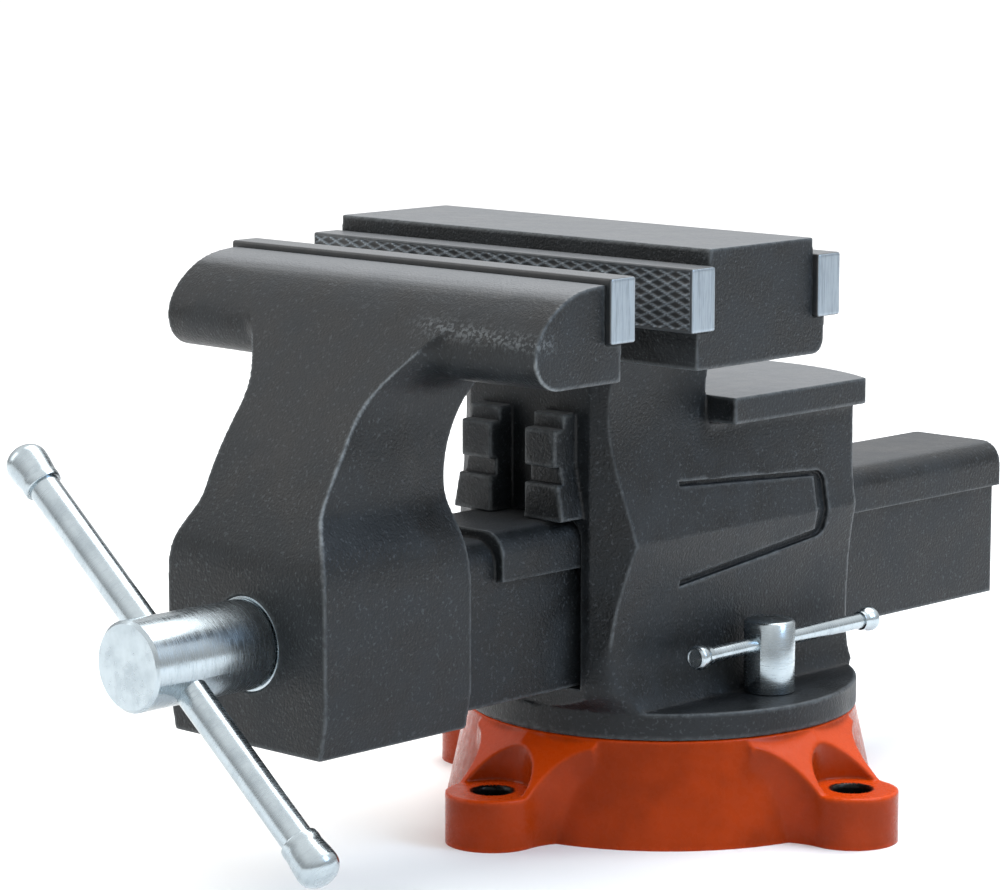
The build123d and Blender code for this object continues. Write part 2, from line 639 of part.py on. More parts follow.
def pipe_rib(side):
    """Toothed rib of the fixed pipe jaw; side is -1 or +1."""
    foot = bar_top + SLIDE_GAP
    outline = Polyline((side * PIPE_IN, foot), (side * (PIPE_OUT + PIPE_FLARE), foot),
                       (side * PIPE_OUT, pipe_groove_z + PIPE_GROOVE_TALL),
                       (side * PIPE_OUT, pipe_top), (side * PIPE_IN, pipe_top), close=True)
    tip = body_front - PIPE_REACH
    rib = run_y(face_of(*outline.edges()), tip, body_front + 1)
    cut_x = sorted((side * (PIPE_IN - 1), side * (PIPE_OUT + PIPE_FLARE + 1)))
    rib -= block(cut_x, (tip - 1, tip + PIPE_GROOVE_DEEP),
                 (pipe_groove_z, pipe_groove_z + PIPE_GROOVE_TALL))
    step_x = sorted((side * PIPE_IN, side * PIPE_OUT))
    rib += block(step_x, (tip + PIPE_STEP_DEEP, body_front + 1), (pipe_top - 1, pipe_top + PIPE_STEP_TALL))
    return rib


def side_frame(side):
    """Cast outline on a side wall: thin lines above and below, and a wide rounded line to the rear."""
    outer = Polyline((FRAME_FRONT, frame_top_front), (FRAME_REAR, frame_top_rear),
                     (FRAME_REAR, frame_low_rear), (FRAME_FRONT, frame_low_front), close=True)
    outer = face_of(*outer.edges())
    outer = fillet(outer.vertices().group_by(Axis.X)[-1], FRAME_CORNER)
    end = FRAME_REAR - FRAME_END_LINE
    inner = Polyline((FRAME_FRONT - 1, frame_top_front - FRAME_LINE), (end, frame_top_rear - FRAME_LINE),
                     (end, frame_low_rear + FRAME_LINE * 1.5),
                     (FRAME_FRONT - 1, frame_low_front + FRAME_LINE * 1.5), close=True)
    inner = face_of(*inner.edges())
    start = wall_waist_half - 10
    line = extrude(Plane.YZ.offset(start) * outer, amount=BIG / 8)
    line -= extrude(Plane.YZ.offset(start - 1) * inner, amount=BIG / 8 + 2)
    return line if side > 0 else line.mirror(Plane.YZ)


def tunnel():
    """Way through the body for the slide bar, with the same rounded top corners and a sliding gap."""
    half = bar_half + SLIDE_GAP
    top = bar_top + SLIDE_GAP
    edges = [
        Line((half, tunnel_floor), (half, top - BAR_CORNER)),
        RadiusArc((half, top - BAR_CORNER), (half - BAR_CORNER, top), -BAR_CORNER),
    ]
    return run_y(mirrored_outline(edges, tunnel_floor, top), body_front - 30, body_rear + 30)


def skirt():
    """Room for the walls: the disc at their foot, then wider with height."""
    rise = head_bottom - disc_top
    return Pos(0, 0, disc_top) * Cone(DISC_R, DISC_R + SKIRT_SLOPE * rise, rise,
                                      align=(Align.CENTER, Align.CENTER, Align.MIN))


def vise_body():
    """One casting: swivel disc, walls, tunnel, neck, fixed jaw, anvil and pipe-jaw ribs."""
    walls = body_walls()
    core = scale(walls, (1 - FRAME_GROOVE_DEEP / wall_ridge_half, 1, 1))
    for side in (-1, 1):
        walls -= front_corner_cut(side)
        walls -= side_frame(side) - core
    walls -= block((-BIG / 4, BIG / 4), (anvil_front, BIG / 4), (anvil_top, head_bottom + 1))
    casting = bar(DISC_R, disc_bottom, disc_top) + bar(base_bore_r - BEARING_GAP, spigot_bottom, disc_top)
    casting += walls & skirt()
    casting += block((-wall_flare_half + 1, wall_flare_half - 1), (body_front + 8, anvil_front - 6),
                     (head_bottom - 1, head_bottom + 1))
    casting += fixed_jaw_head() + anvil() + pipe_rib(-1) + pipe_rib(1)
    casting -= tunnel()
    for side in (-1, 1):
        casting -= bar(LOCK_HEAD_R + LOCK_POCKET_GAP, disc_top, disc_top + LOCK_HEAD_TALL + 6, "z",
                       (side * lock_x, LOCK_Y))
        casting -= bar(LOCK_R + BEARING_GAP, spigot_bottom - 1, disc_top + 1, "z", (side * lock_x, LOCK_Y))
    for y in nut_screw_ys:
        casting -= bar(NUT_SCREW_R + SCREW_GAP, spigot_bottom - 1, tunnel_floor + 1, "z", (0, y))
        casting -= bar(NUT_SCREW_HEAD_R + 1.0, spigot_bottom - 1, nut_screw_seat, "z", (0, y))
    return casting - plate_screw_holes(HEAD_FRONT, -1) - plate_screw_holes(head_rear, 1)


# ---- swivel base, clamp plate and locks ----

def lug_places():
    for index in range(LUG_COUNT):
        yield 360.0 * index / LUG_COUNT


def base_outline():
    """Round foot with four lugs, blended by hollow curves."""
    side_at_lug = base_rim_r + (base_foot_r - base_rim_r) * (1 - LUG_HEIGHT / BASE_HEIGHT)
    foot = Circle(side_at_lug - LUG_ROOT)
    for angle in lug_places():
        foot += Rot(0, 0, angle) * Pos(lug_radius, 0) * Circle(LUG_R)
    return fillet(foot.vertices(), LUG_BLEND)


def gusset(outline):
    """Tent on the lug at +X: the blended outline run up to the rim, under two sloping faces."""
    rim = base_rim_r - 0.6
    ridge = Vector(rim, 0, BASE_HEIGHT)
    half = outline & Pos(lug_radius, 0) * Rectangle(2 * (lug_radius - rim / 2), 2 * GUSSET_REACH)
    tent = extrude(half, amount=BASE_HEIGHT, dir=(0, 0, 1))
    for side in (-1, 1):
        corner = Vector(math.sqrt(rim ** 2 - GUSSET_REACH ** 2), side * GUSSET_REACH, BASE_HEIGHT)
        toe = Vector(lug_radius, side * GUSSET_TOE_HALF, LUG_HEIGHT)
        up = (corner - ridge).cross(toe - ridge)
        up = up if up.Z > 0 else -up
        tent = split(tent, bisect_by=Plane(ridge, z_dir=up), keep=Keep.BOTTOM)
    return tent


def swivel_base():
    """Hollow cone with four lugs; its top is a flat ring that the body turns on."""
    cone = Cone(base_foot_r, base_rim_r, BASE_HEIGHT, align=(Align.CENTER, Align.CENTER, Align.MIN))
    outline = base_outline()
    casting = cone + extrude(outline, amount=LUG_HEIGHT, dir=(0, 0, 1))
    for angle in lug_places():
        casting += Rot(0, 0, angle) * gusset(outline)
    for angle in lug_places():
        place = Rot(0, 0, angle) * Pos(lug_radius, 0, 0)
        pocket = bar(POCKET_R, LUG_HEIGHT, BASE_HEIGHT + 5)
        hole = bar(LUG_HOLE_R, -1, BASE_HEIGHT)
        mouth = Pos(0, 0, LUG_HEIGHT - LUG_HOLE_EASE) * Cone(LUG_HOLE_R, LUG_HOLE_R + LUG_HOLE_EASE * 1.5,
                                                            LUG_HOLE_EASE * 1.5,
                                                            align=(Align.CENTER, Align.CENTER, Align.MIN))
        casting -= place * (pocket + hole + mouth)
    casting -= bar(base_bore_r, -1, BASE_HEIGHT + 1)
    casting -= bar(cavity_r, -1, BASE_HEIGHT - LIP_THICK)
    return casting


def clamp_plate():
    """Ring under the base's lip; the two lock bolts draw it up against the lip."""
    ring = bar(clamp_r, clamp_bottom, clamp_top) - bar(clamp_bore_r, clamp_bottom - 1, clamp_top + 1)
    for side in (-1, 1):
        ring -= bar(LOCK_R + BEARING_GAP, clamp_bottom - 1, clamp_top + 1, "z", (side * lock_x, LOCK_Y))
    return ring


def lock_bolt(side):
    """Tall round head with a cross hole, and the bolt down to the clamp plate."""
    head = bar(LOCK_HEAD_R, lock_seat, disc_top + LOCK_HEAD_TALL)
    head = chamfer(head.edges().group_by(Axis.Z)[-1], 0.8)
    bolt = head + bar(LOCK_R, clamp_bottom - LOCK_TAIL, lock_seat + 1)
    bolt -= bar(LOCK_BAR_R + BEARING_GAP, -BIG / 8, BIG / 8, "y", (0, lock_bar_z))
    return Pos(side * lock_x, LOCK_Y, 0) * bolt


def lock_bar(side):
    half = LOCK_BAR_SPAN / 2 - LOCK_KNOB_LENGTH / 2 + LOCK_KNOB_SOCKET
    return bar(LOCK_BAR_R, LOCK_BAR_MIDDLE - half, LOCK_BAR_MIDDLE + half, "y", (side * lock_x, lock_bar_z))


def lock_knobs(side):
    """Domed knob pressed on each end of the lock bar."""
    half = LOCK_KNOB_LENGTH / 2
    profile = face_of(
        Line((-half, 0), (-half, lock_knob_r - 0.9)),
        Line((-half, lock_knob_r - 0.9), (-half + 0.9, lock_knob_r)),
        Line((-half + 0.9, lock_knob_r), (half - 3.0, lock_knob_r)),
        Spline((half - 3.0, lock_knob_r), (half - 0.9, lock_knob_r - 1.5), (half, 1.6),
               tangents=[(1, 0), (0, -1)]),
        Line((half, 1.6), (half, 0)),
        Line((half, 0), (-half, 0)),
    )
    knob = revolve(profile, Axis.X) - bar(LOCK_BAR_R, -half - 1, -half + LOCK_KNOB_SOCKET, "x")
    knobs = []
    for end in (-1, 1):
        place = Pos(side * lock_x, LOCK_BAR_MIDDLE + end * LOCK_BAR_SPAN / 2, lock_bar_z)
        knobs.append(place * Rot(0, 0, 90 * end) * knob)
    return knobs


def save(name, shape):
    """Write one piece, or several separate solids that share a name."""
    if isinstance(shape, list):
        shape = Compound(children=[item.solid() for item in shape])
    elif len(shape.solids()) == 1:
        shape = shape.solid()
    shape.label = name
    export_step(shape, "parts/" + name + ".step")


save("swivel_base", swivel_base())
save("clamp_plate", clamp_plate())
save("vise_body", vise_body())
save("front_jaw_plate", jaw_plate(HEAD_FRONT, -1))
save("rear_jaw_plate", jaw_plate(head_rear, 1))
save("front_plate_screws", plate_screws(HEAD_FRONT, -1))
save("rear_plate_screws", plate_screws(head_rear, 1))
save("spindle_nut", spindle_nut())
save("nut_screws", nut_screws())
save("nut_washers", nut_washers())
save("moving_jaw", moving_jaw())
save("moving_jaw_plate", jaw_plate(moving_seat, 1))
save("moving_plate_screws", plate_screws(moving_seat, 1))
save("thrust_washer", thrust_washer())
save("spindle_screw", spindle_screw())
save("spindle_collar", spindle_collar())
save("collar_pin", collar_pin())
save("handle_rod", handle_rod())
save("handle_knob_upper", handle_knob(-1))
save("handle_knob_lower", handle_knob(1))
for side, name in ((1, "right"), (-1, "left")):
    save("lock_bolt_" + name, lock_bolt(side))
    save("lock_bar_" + name, lock_bar(side))
    save("lock_knobs_" + name, lock_knobs(side))
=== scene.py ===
import json
import math
import bpy
import bmesh
import numpy as np
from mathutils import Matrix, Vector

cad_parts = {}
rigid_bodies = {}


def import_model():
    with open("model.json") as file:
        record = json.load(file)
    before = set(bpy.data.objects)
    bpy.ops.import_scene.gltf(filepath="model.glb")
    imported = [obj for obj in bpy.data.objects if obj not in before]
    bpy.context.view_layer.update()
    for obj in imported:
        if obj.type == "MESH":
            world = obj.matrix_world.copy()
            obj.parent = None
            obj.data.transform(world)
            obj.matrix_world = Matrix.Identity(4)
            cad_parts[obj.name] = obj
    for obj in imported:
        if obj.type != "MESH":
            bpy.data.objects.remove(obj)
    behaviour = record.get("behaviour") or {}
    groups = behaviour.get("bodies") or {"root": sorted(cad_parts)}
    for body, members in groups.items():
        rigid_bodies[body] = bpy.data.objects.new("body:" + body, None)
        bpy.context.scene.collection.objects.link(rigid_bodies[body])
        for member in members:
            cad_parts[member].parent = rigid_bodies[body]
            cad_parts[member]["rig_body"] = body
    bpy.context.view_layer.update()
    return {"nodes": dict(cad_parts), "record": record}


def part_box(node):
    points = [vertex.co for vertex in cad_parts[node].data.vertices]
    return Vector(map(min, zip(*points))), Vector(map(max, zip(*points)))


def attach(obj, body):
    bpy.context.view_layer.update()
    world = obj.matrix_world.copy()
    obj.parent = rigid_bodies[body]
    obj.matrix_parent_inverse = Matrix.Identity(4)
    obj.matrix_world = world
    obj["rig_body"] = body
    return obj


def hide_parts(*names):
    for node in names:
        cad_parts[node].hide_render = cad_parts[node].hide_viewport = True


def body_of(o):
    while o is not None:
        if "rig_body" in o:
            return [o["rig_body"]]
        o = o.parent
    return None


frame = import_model()
nodes = frame["nodes"]
mm = 0.001
print("frame loaded:", len(nodes), "nodes")


def srgb(code):  # hex colour to linear, with an alpha of 1
    parts = [int(code[i:i + 2], 16) / 255 for i in (1, 3, 5)]
    return [c / 12.92 if c < 0.04045 else ((c + 0.055) / 1.055) ** 2.4 for c in parts] + [1.0]


def nodeBox(name):  # a CAD node's lowest and highest corner, in millimetres
    low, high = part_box(name)
    return np.array(low) / mm, np.array(high) / mm


def addNode(tree, kind, settings=None, links=None):  # one shader node, its settings and what feeds it
    node = tree.nodes.new(kind)
    for key, value in (settings or {}).items():
        if isinstance(key, str) and hasattr(node, key):
            setattr(node, key, value)
        else:
            node.inputs[key].default_value = value
    for key, source in (links or {}).items():
        tree.links.new(source, node.inputs[key])
    return node


# the camera stands where it sees the vise from its front right, a little above the bench

camera = {"azimuth": 43.68, "pitch": 8.82, "place": (0.8330, -0.9506, 0.3160), "lens": 138.2}
camData = bpy.data.cameras.new("camera")
camData.lens = camera["lens"]
camData.clip_start = 0.05
camObject = bpy.data.objects.new("camera", camData)
camObject.location = camera["place"]
camObject.rotation_euler = (math.radians(90 - camera["pitch"]), 0, math.radians(camera["azimuth"]))
bpy.context.scene.collection.objects.link(camObject)
bpy.context.scene.camera = camObject

studio = {"floorSide": 60.0, "floor": "#fcfcfb", "world": "#ffffff", "horizonLevel": 0.55, "zenithLevel": 1.3}


def makeFloor():  # matte white paper
    side = studio["floorSide"] / 2
    mesh = bpy.data.meshes.new("floor")
    corners = [(-side, -side, 0), (side, -side, 0), (side, side, 0), (-side, side, 0)]
    mesh.from_pydata(corners, [], [(0, 1, 2, 3)])
    floor = bpy.data.objects.new("floor", mesh)
    bpy.context.scene.collection.objects.link(floor)
    material = bpy.data.materials.new("mattePaper")
    material.use_nodes = True
    shader = material.node_tree.nodes["Principled BSDF"]
    shader.inputs["Base Color"].default_value = srgb(studio["floor"])
    shader.inputs["Roughness"].default_value = 0.9
    mesh.materials.append(material)


def makeWorld():
    world = bpy.data.worlds.new("studio")
    world.use_nodes = True
    background = world.node_tree.nodes["Background"]
    background.inputs["Color"].default_value = srgb(studio["world"])
    tree = world.node_tree
    direction = addNode(tree, "ShaderNodeTexCoord").outputs["Generated"]
    way = addNode(tree, "ShaderNodeSeparateXYZ", None, {0: direction})
    settings = {"interpolation_type": "SMOOTHSTEP", 1: 0.0, 2: 0.8,
                3: studio["horizonLevel"], 4: studio["zenithLevel"]}
    level = addNode(tree, "ShaderNodeMapRange", settings, {0: way.outputs["Z"]})
    tree.links.new(level.outputs[0], background.inputs["Strength"])
    bpy.context.scene.world = world


def areaLight(name, place, target, size, power, colour):
    data = bpy.data.lights.new(name, "AREA")
    data.shape = "RECTANGLE"
    data.size, data.size_y = size
    data.energy = power
    data.color = srgb(colour)[:3]
    light = bpy.data.objects.new(name, data)
    light.location = place
    away = np.array(place, float) - np.array(target, float)
    away /= np.linalg.norm(away)
    light.rotation_euler = (math.acos(away[2]), 0, math.atan2(away[0], -away[1]))
    bpy.context.scene.collection.objects.link(light)


makeFloor()
makeWorld()
middle = (0, -0.03, 0.1)
areaLight("overhead", (-0.1, 0.5, 1.5), middle, (1.4, 1.0), 18, "#ffffff")
areaLight("frontLeft", (-1.1, -1.0, 0.9), middle, (0.7, 0.9), 4, "#ffffff")
areaLight("rightSide", (1.4, 0.4, 1.2), middle, (0.6, 1.0), 16, "#a9c8ea")
bpy.context.scene.view_settings.view_transform = "Standard"
print("camera, floor and light placed")


# Materials. A finish is one dictionary: the colour underneath, layers laid over it in turn, a pattern for
# its roughness and one for its bump. A pattern's size is the real width of its blots in millimetres. A
# layer shows where the number stored on the mesh under its mark, its pattern, or both times each other,
# is high. A pattern with stretch is drawn out across the part's own axis, as lathe and grinding marks are.

def pattern(tree, place, choice):  # a noise from 0 to 1, brought between low and high if it has them
    if "turn" in choice:
        place = addNode(tree, "ShaderNodeMapping", None, {"Vector": place})
        place.inputs["Rotation"].default_value = [math.radians(angle) for angle in choice["turn"]]
        place = place.outputs[0]
    if "stretch" in choice:
        place = addNode(tree, "ShaderNodeMapping", None, {"Vector": place})
        place.inputs["Scale"].default_value = choice["stretch"]
        place = place.outputs[0]
    settings = {"Scale": 1 / (choice["size"] * mm), "Detail": choice["detail"],
                "Roughness": choice.get("grit", 0.55)}
    value = addNode(tree, "ShaderNodeTexNoise", settings, {"Vector": place}).outputs["Fac"]
    if "high" in choice:
        settings = {"interpolation_type": "SMOOTHSTEP", 1: choice["start"], 2: choice["end"],
                    3: choice.get("low", 0.0), 4: choice["high"]}
        value = addNode(tree, "ShaderNodeMapRange", settings, {0: value}).outputs[0]
    return value


def layered(tree, place, under, layers):  # the colour after each layer has been mixed over the last
    colour = None
    for layer in layers:
        amount = None
        if "mark" in layer:
            amount = addNode(tree, "ShaderNodeAttribute", {"attribute_name": layer["mark"]}).outputs["Fac"]
        if "size" in layer:
            blots = pattern(tree, place, layer)
            if amount is None:
                amount = blots
            else:
                amount = addNode(tree, "ShaderNodeMath", {"operation": "MULTIPLY"}, {0: amount, 1: blots})
                amount = amount.outputs[0]
        elif layer["amount"] != 1:
            settings = {"operation": "MULTIPLY", 1: layer["amount"]}
            amount = addNode(tree, "ShaderNodeMath", settings, {0: amount}).outputs[0]
        settings, links = {"data_type": "RGBA", 7: srgb(layer["colour"])}, {0: amount}
        if colour is None:
            settings[6] = srgb(under)
        else:
            links[6] = colour
        colour = addNode(tree, "ShaderNodeMix", settings, links).outputs[2]
    return colour


def makeFinish(choice):
    material = bpy.data.materials.new(choice["name"])
    material.use_nodes = True
    tree = material.node_tree
    shader = tree.nodes["Principled BSDF"]
    place = addNode(tree, "ShaderNodeTexCoord").outputs["Object"]
    colour = layered(tree, place, choice["under"], choice["layers"])
    if "bare" in choice:  # metal shows where the mark bare is high
        bare = addNode(tree, "ShaderNodeAttribute", {"attribute_name": "bare"}).outputs["Fac"]
        metal = layered(tree, place, choice["bare"]["under"], choice["bare"]["layers"])
        mixed = addNode(tree, "ShaderNodeMix", {"data_type": "RGBA"}, {0: bare, 6: colour, 7: metal})
        colour = mixed.outputs[2]
        settings = {"operation": "MULTIPLY", 1: choice["bare"]["metallic"]}
        metallic = addNode(tree, "ShaderNodeMath", settings, {0: bare})
        tree.links.new(metallic.outputs[0], shader.inputs["Metallic"])
    tree.links.new(colour, shader.inputs["Base Color"])
    tree.links.new(pattern(tree, place, choice["rough"]), shader.inputs["Roughness"])
    for name, value in choice.get("shader", {}).items():
        shader.inputs[name].default_value = value
    relief = choice["bump"]
    settings = {"Strength": relief["strength"], "Distance": relief["depth"] * mm}
    bumps = addNode(tree, "ShaderNodeBump", settings, {"Height": pattern(tree, place, relief)})
    tree.links.new(bumps.outputs[0], shader.inputs["Normal"])
    return material


# Powder-coated grey iron, sand cast. The sand leaves a fine pebbled skin, the coat makes it satin with
# lighter flecks, and the metal starts to show on the corners that get knocked; those corners also carry a
# painted highlight. Faces that look up are lightened as painted light, and the recesses are darkened as
# painted shade.
coatColours = {"deep": "#0e1113", "skin": "#1a1e21", "top": "#707274", "fleck": "#4d5256", "wearAndPaintedHighlight": "#7d8386"}
coatedIron = {
    "name": "powderCoatedCastIron", "under": coatColours["deep"], "shader": {"Specular IOR Level": 0.3},
    "layers": [
        {"colour": coatColours["skin"], "size": 16.0, "detail": 4.0, "grit": 0.6,
         "start": 0.35, "end": 0.65, "high": 1.0},
        # painted light: faces that look up are lighter grey
        {"colour": coatColours["top"], "mark": "top", "amount": 0.85},
        {"colour": coatColours["fleck"], "size": 1.1, "detail": 1.0, "start": 0.6, "end": 0.74, "high": 0.36},
        # painted shade: the recesses are darkened to the deep colour
        {"colour": coatColours["deep"], "mark": "hollow", "amount": 0.7},
        # pale corners: wear where knocks bare the metal, and a painted highlight
        {"colour": coatColours["wearAndPaintedHighlight"], "mark": "edge", "size": 2.6, "detail": 3.0,
         "start": 0.3, "end": 0.6, "low": 0.135, "high": 0.3},
        {"colour": coatColours["wearAndPaintedHighlight"], "mark": "parting", "size": 1.2, "detail": 2.0,
         "start": 0.46, "end": 0.6, "high": 0.32},
    ],
    "rough": {"size": 16.0, "detail": 4.0, "grit": 0.6, "start": 0.3, "end": 0.7, "low": 0.38, "high": 0.54},
    "bump": {"size": 0.9, "detail": 2.0, "depth": 0.45, "strength": 0.6},
}

# Orange enamel, sprayed and baked on cast iron: a glossy skin with a slight orange peel over the casting's
# waves, painted light where it faces up, a painted highlight on its corners, dust and small scuffs on the
# flat lugs, and painted shade in its recesses. The bolt holes are bare iron, painted near-black for the shade
# inside them.
orangeEnamel = {
    "name": "orangeEnamel", "under": "#852a02", "shader": {"Specular IOR Level": 0.14},
    "layers": [
        # painted light: the enamel is brighter where it faces up
        {"colour": "#cc4208", "mark": "top", "amount": 1},
        {"colour": "#d64a12", "size": 22.0, "detail": 2.0, "start": 0.35, "end": 0.7, "high": 0.22},
        # painted highlight: a brighter orange on the corners
        {"colour": "#d64a12", "mark": "edge", "amount": 0.35},
        # painted shade: darker brown in the recesses
        {"colour": "#6a2404", "mark": "hollow", "amount": 0.6},
        {"colour": "#5a3a2a", "mark": "dust", "size": 2.2, "detail": 4.0, "grit": 0.7,
         "start": 0.55, "end": 0.72, "high": 0.22},
        # the bolt holes: bare iron, painted near-black for the shade inside them
        {"colour": "#0c0b0a", "mark": "bore", "amount": 1},
    ],
    "rough": {"size": 2.6, "detail": 2.0, "start": 0.3, "end": 0.7, "low": 0.22, "high": 0.34},
    "bump": {"size": 2.6, "detail": 2.0, "depth": 0.25, "strength": 0.25},
}

# Hardened tool steel, ground on its ends and knurled on its face: silver where the grinding wheel or the
# work has touched it, black oxide left in the cuts, and painted light from above on its upper faces, the
# same lighter grey as on the castings.
scratches = {"stretch": (1, 1, 0.05), "size": 0.6, "detail": 3.0, "grit": 0.7}
knurledSteel = {
    "name": "groundToolSteel", "under": "#242526",
    "layers": [
        {"colour": coatColours["skin"], "size": 7.0, "detail": 3.0, "start": 0.35, "end": 0.65, "high": 1.0},
        # painted light: the upper faces are lightened to the castings' lighter grey
        {"colour": coatColours["top"], "mark": "top", "amount": 0.7},
    ],
    "bare": {"under": "#959fa7", "metallic": 0.9,
             "layers": [{"colour": "#7d868d", "start": 0.4, "end": 0.75, "high": 1.0, **scratches}]},
    "rough": {"start": 0.3, "end": 0.7, "low": 0.3, "high": 0.48, **scratches},
    "bump": {"depth": 0.06, "strength": 0.3, **scratches},
}


# Bright zinc plate over turned steel: pale blue-grey metal whose fine lathe marks stretch the highlights
# along the part, with a few duller patches where hands have held it. turn lays the marks across the axis.
def brightZinc(name, turn):
    lathe = {"turn": turn, "stretch": (1, 0.08, 0.08), "size": 0.5, "detail": 3.0, "grit": 0.7}
    return {
        "name": name, "under": "#b2bcc1", "shader": {"Metallic": 1.0},
        "layers": [
            {"colour": "#88939a", "size": 9.0, "detail": 4.0, "grit": 0.6,
             "start": 0.4, "end": 0.7, "high": 0.4},
            {"colour": "#88939a", "start": 0.45, "end": 0.7, "high": 0.25, **lathe},
        ],
        "rough": {"start": 0.3, "end": 0.7, "low": 0.18, "high": 0.3, **lathe},
        "bump": {"depth": 0.03, "strength": 0.2, **lathe},
    }


# Machined iron and oiled or blackened steel, for the parts inside: a grey metal with faint cutter marks.
def workedSteel(name, colour, shade, roughness):
    cuts = {"size": 0.8, "detail": 3.0}
    return {
        "name": name, "under": colour, "shader": {"Metallic": 1.0},
        "layers": [{"colour": shade, "size": 6.0, "detail": 4.0, "grit": 0.6,
                    "start": 0.35, "end": 0.65, "high": 1.0}],
        "rough": {"start": 0.3, "end": 0.7, "low": roughness - 0.08, "high": roughness + 0.08, **cuts},
        "bump": {"depth": 0.05, "strength": 0.25, **cuts},
    }


handleTurn = 39.1  # degrees the handle lies below the level
finishes = {slot: makeFinish(choice) for slot, choice in {
    "cast_black": coatedIron,
    "base_enamel": orangeEnamel,
    "jaw_steel": knurledSteel,
    "zinc_steel": brightZinc("brightZincUpright", (0, 90, 0)),
    "plain_iron": workedSteel("machinedIron", "#6f7276", "#4c4f52", 0.42),
    "plain_steel": workedSteel("oiledSteel", "#8f9398", "#6a6d70", 0.32),
    "dark_screw": workedSteel("blackOxideSteel", "#2f3032", "#1d1e1f", 0.4),
}.items()}
zincAlongBar = makeFinish(brightZinc("brightZincLengthwise", (0, 0, 90)))
zincHandle = makeFinish(brightZinc("brightZincHandle", (0, -handleTurn, 0)))
subparts = frame["record"]["subparts"]
slotOf = {part["node"]: part["material_slot"] for part in subparts}
bodyOf = {part["node"]: body_of(nodes[part["node"]])[0] for part in subparts}
for name, node in nodes.items():
    node.data.materials.clear()
    node.data.materials.append(finishes[slotOf[name]])
print("materials made:", len(finishes) + 2)


# every piece stands for a CAD node, rides with its body and takes its slot

def finishPiece(name, mesh, node, material=None, smoothAngle=35):
    mesh.materials.clear()
    mesh.materials.append(material or finishes[slotOf[node]])
    mesh.validate()
    mesh.update()
    mesh.shade_smooth()
    if smoothAngle:
        mesh.set_sharp_from_angle(angle=math.radians(smoothAngle))
    piece = bpy.data.objects.new(name, mesh)
    bpy.context.scene.collection.objects.link(piece)
    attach(piece, bodyOf[node])
    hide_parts(node)
    return piece


def applied(mesh, kind, **settings):  # the mesh with one modifier applied
    helper = bpy.data.objects.new("helper", mesh)
    bpy.context.scene.collection.objects.link(helper)
    modifier = helper.modifiers.new("step", kind)
    for key, value in settings.items():
        setattr(modifier, key, value)
    result = bpy.data.meshes.new_from_object(helper.evaluated_get(bpy.context.evaluated_depsgraph_get()))
    bpy.data.objects.remove(helper)
    return result


def mergedCopy(node, flatAngle=None):  # the CAD mesh with its loose triangles joined up
    mesh = nodes[node].data.copy()
    work = bmesh.new()
    work.from_mesh(mesh)
    bmesh.ops.remove_doubles(work, verts=work.verts, dist=1e-6)
    if flatAngle:
        bmesh.ops.dissolve_limit(work, angle_limit=flatAngle, verts=work.verts, edges=work.edges)
    work.to_mesh(mesh)
    work.free()
    return mesh


def pointsOf(mesh):  # points in millimetres
    flat = np.empty(len(mesh.vertices) * 3, np.float32)
    mesh.vertices.foreach_get("co", flat)
    return flat.reshape(-1, 3).astype(float) / mm


def normalsOf(mesh):
    flat = np.empty(len(mesh.vertices) * 3, np.float32)
    mesh.vertex_normals.foreach_get("vector", flat)
    return flat.reshape(-1, 3).astype(float)


def edgesOf(mesh):
    flat = np.empty(len(mesh.edges) * 2, np.int32)
    mesh.edges.foreach_get("vertices", flat)
    return flat.reshape(-1, 2)


def setPoints(mesh, points):
    mesh.vertices.foreach_set("co", (points * mm).astype(np.float32).ravel())
    mesh.update()


def neighbourMean(points, edges):  # mean of each point's neighbours
    count = np.bincount(edges.ravel(), minlength=len(points)).clip(1)
    mean = [np.bincount(edges[:, 0], points[edges[:, 1], k], len(points))
            + np.bincount(edges[:, 1], points[edges[:, 0], k], len(points)) for k in range(3)]
    return np.stack(mean, -1) / count[:, None]


# Each point moves part of the way to the mean of its neighbours, as far as its weight says. Where only
# hollows may fill, the step counts when it goes out along the surface's normal.
def relax(mesh, weight, rounds, fillOnly=False):
    points, edges, normals = pointsOf(mesh), edgesOf(mesh), normalsOf(mesh)
    edges = edges[(weight > 0.001)[edges].any(1)]
    for turn in range(rounds):
        step = (neighbourMean(points, edges) - points) * weight[:, None] * 0.7
        if fillOnly:
            step = np.where((step * normals).sum(1)[:, None] > 0, step, 0)
            if turn % 12 == 11:
                setPoints(mesh, points)
                normals = normalsOf(mesh)
        points = points + step
    setPoints(mesh, points)


def ease(value, low, high):  # 0 below low, 1 above high, smooth between
    t = np.clip((value - low) / (high - low), 0, 1)
    return t * t * (3 - 2 * t)


# Castings. The CAD shape is remeshed into small even cells, its corners are eased the way a sand mould
# leaves them, and the named hollows are filled into sweeping fillets. How sharply each point sticks out or
# sinks in is stored on it for the material, and last the mesh is thinned where it is flat.
castings = {
    "vise_body": {"depth": 8, "cell": 0.68, "easing": 2},
    "moving_jaw": {"depth": 9, "cell": 0.71, "easing": 2},
    "swivel_base": {"depth": 8, "cell": 0.8, "easing": 2},
}
mostTriangles = 190000
lugAt = 81.8  # the four bolt holes, out from the middle along X and along Y


def fromLug(x, y):  # distance from the nearest bolt hole's axis
    return np.minimum(np.hypot(np.abs(x) - lugAt, y), np.hypot(x, np.abs(y) - lugAt))


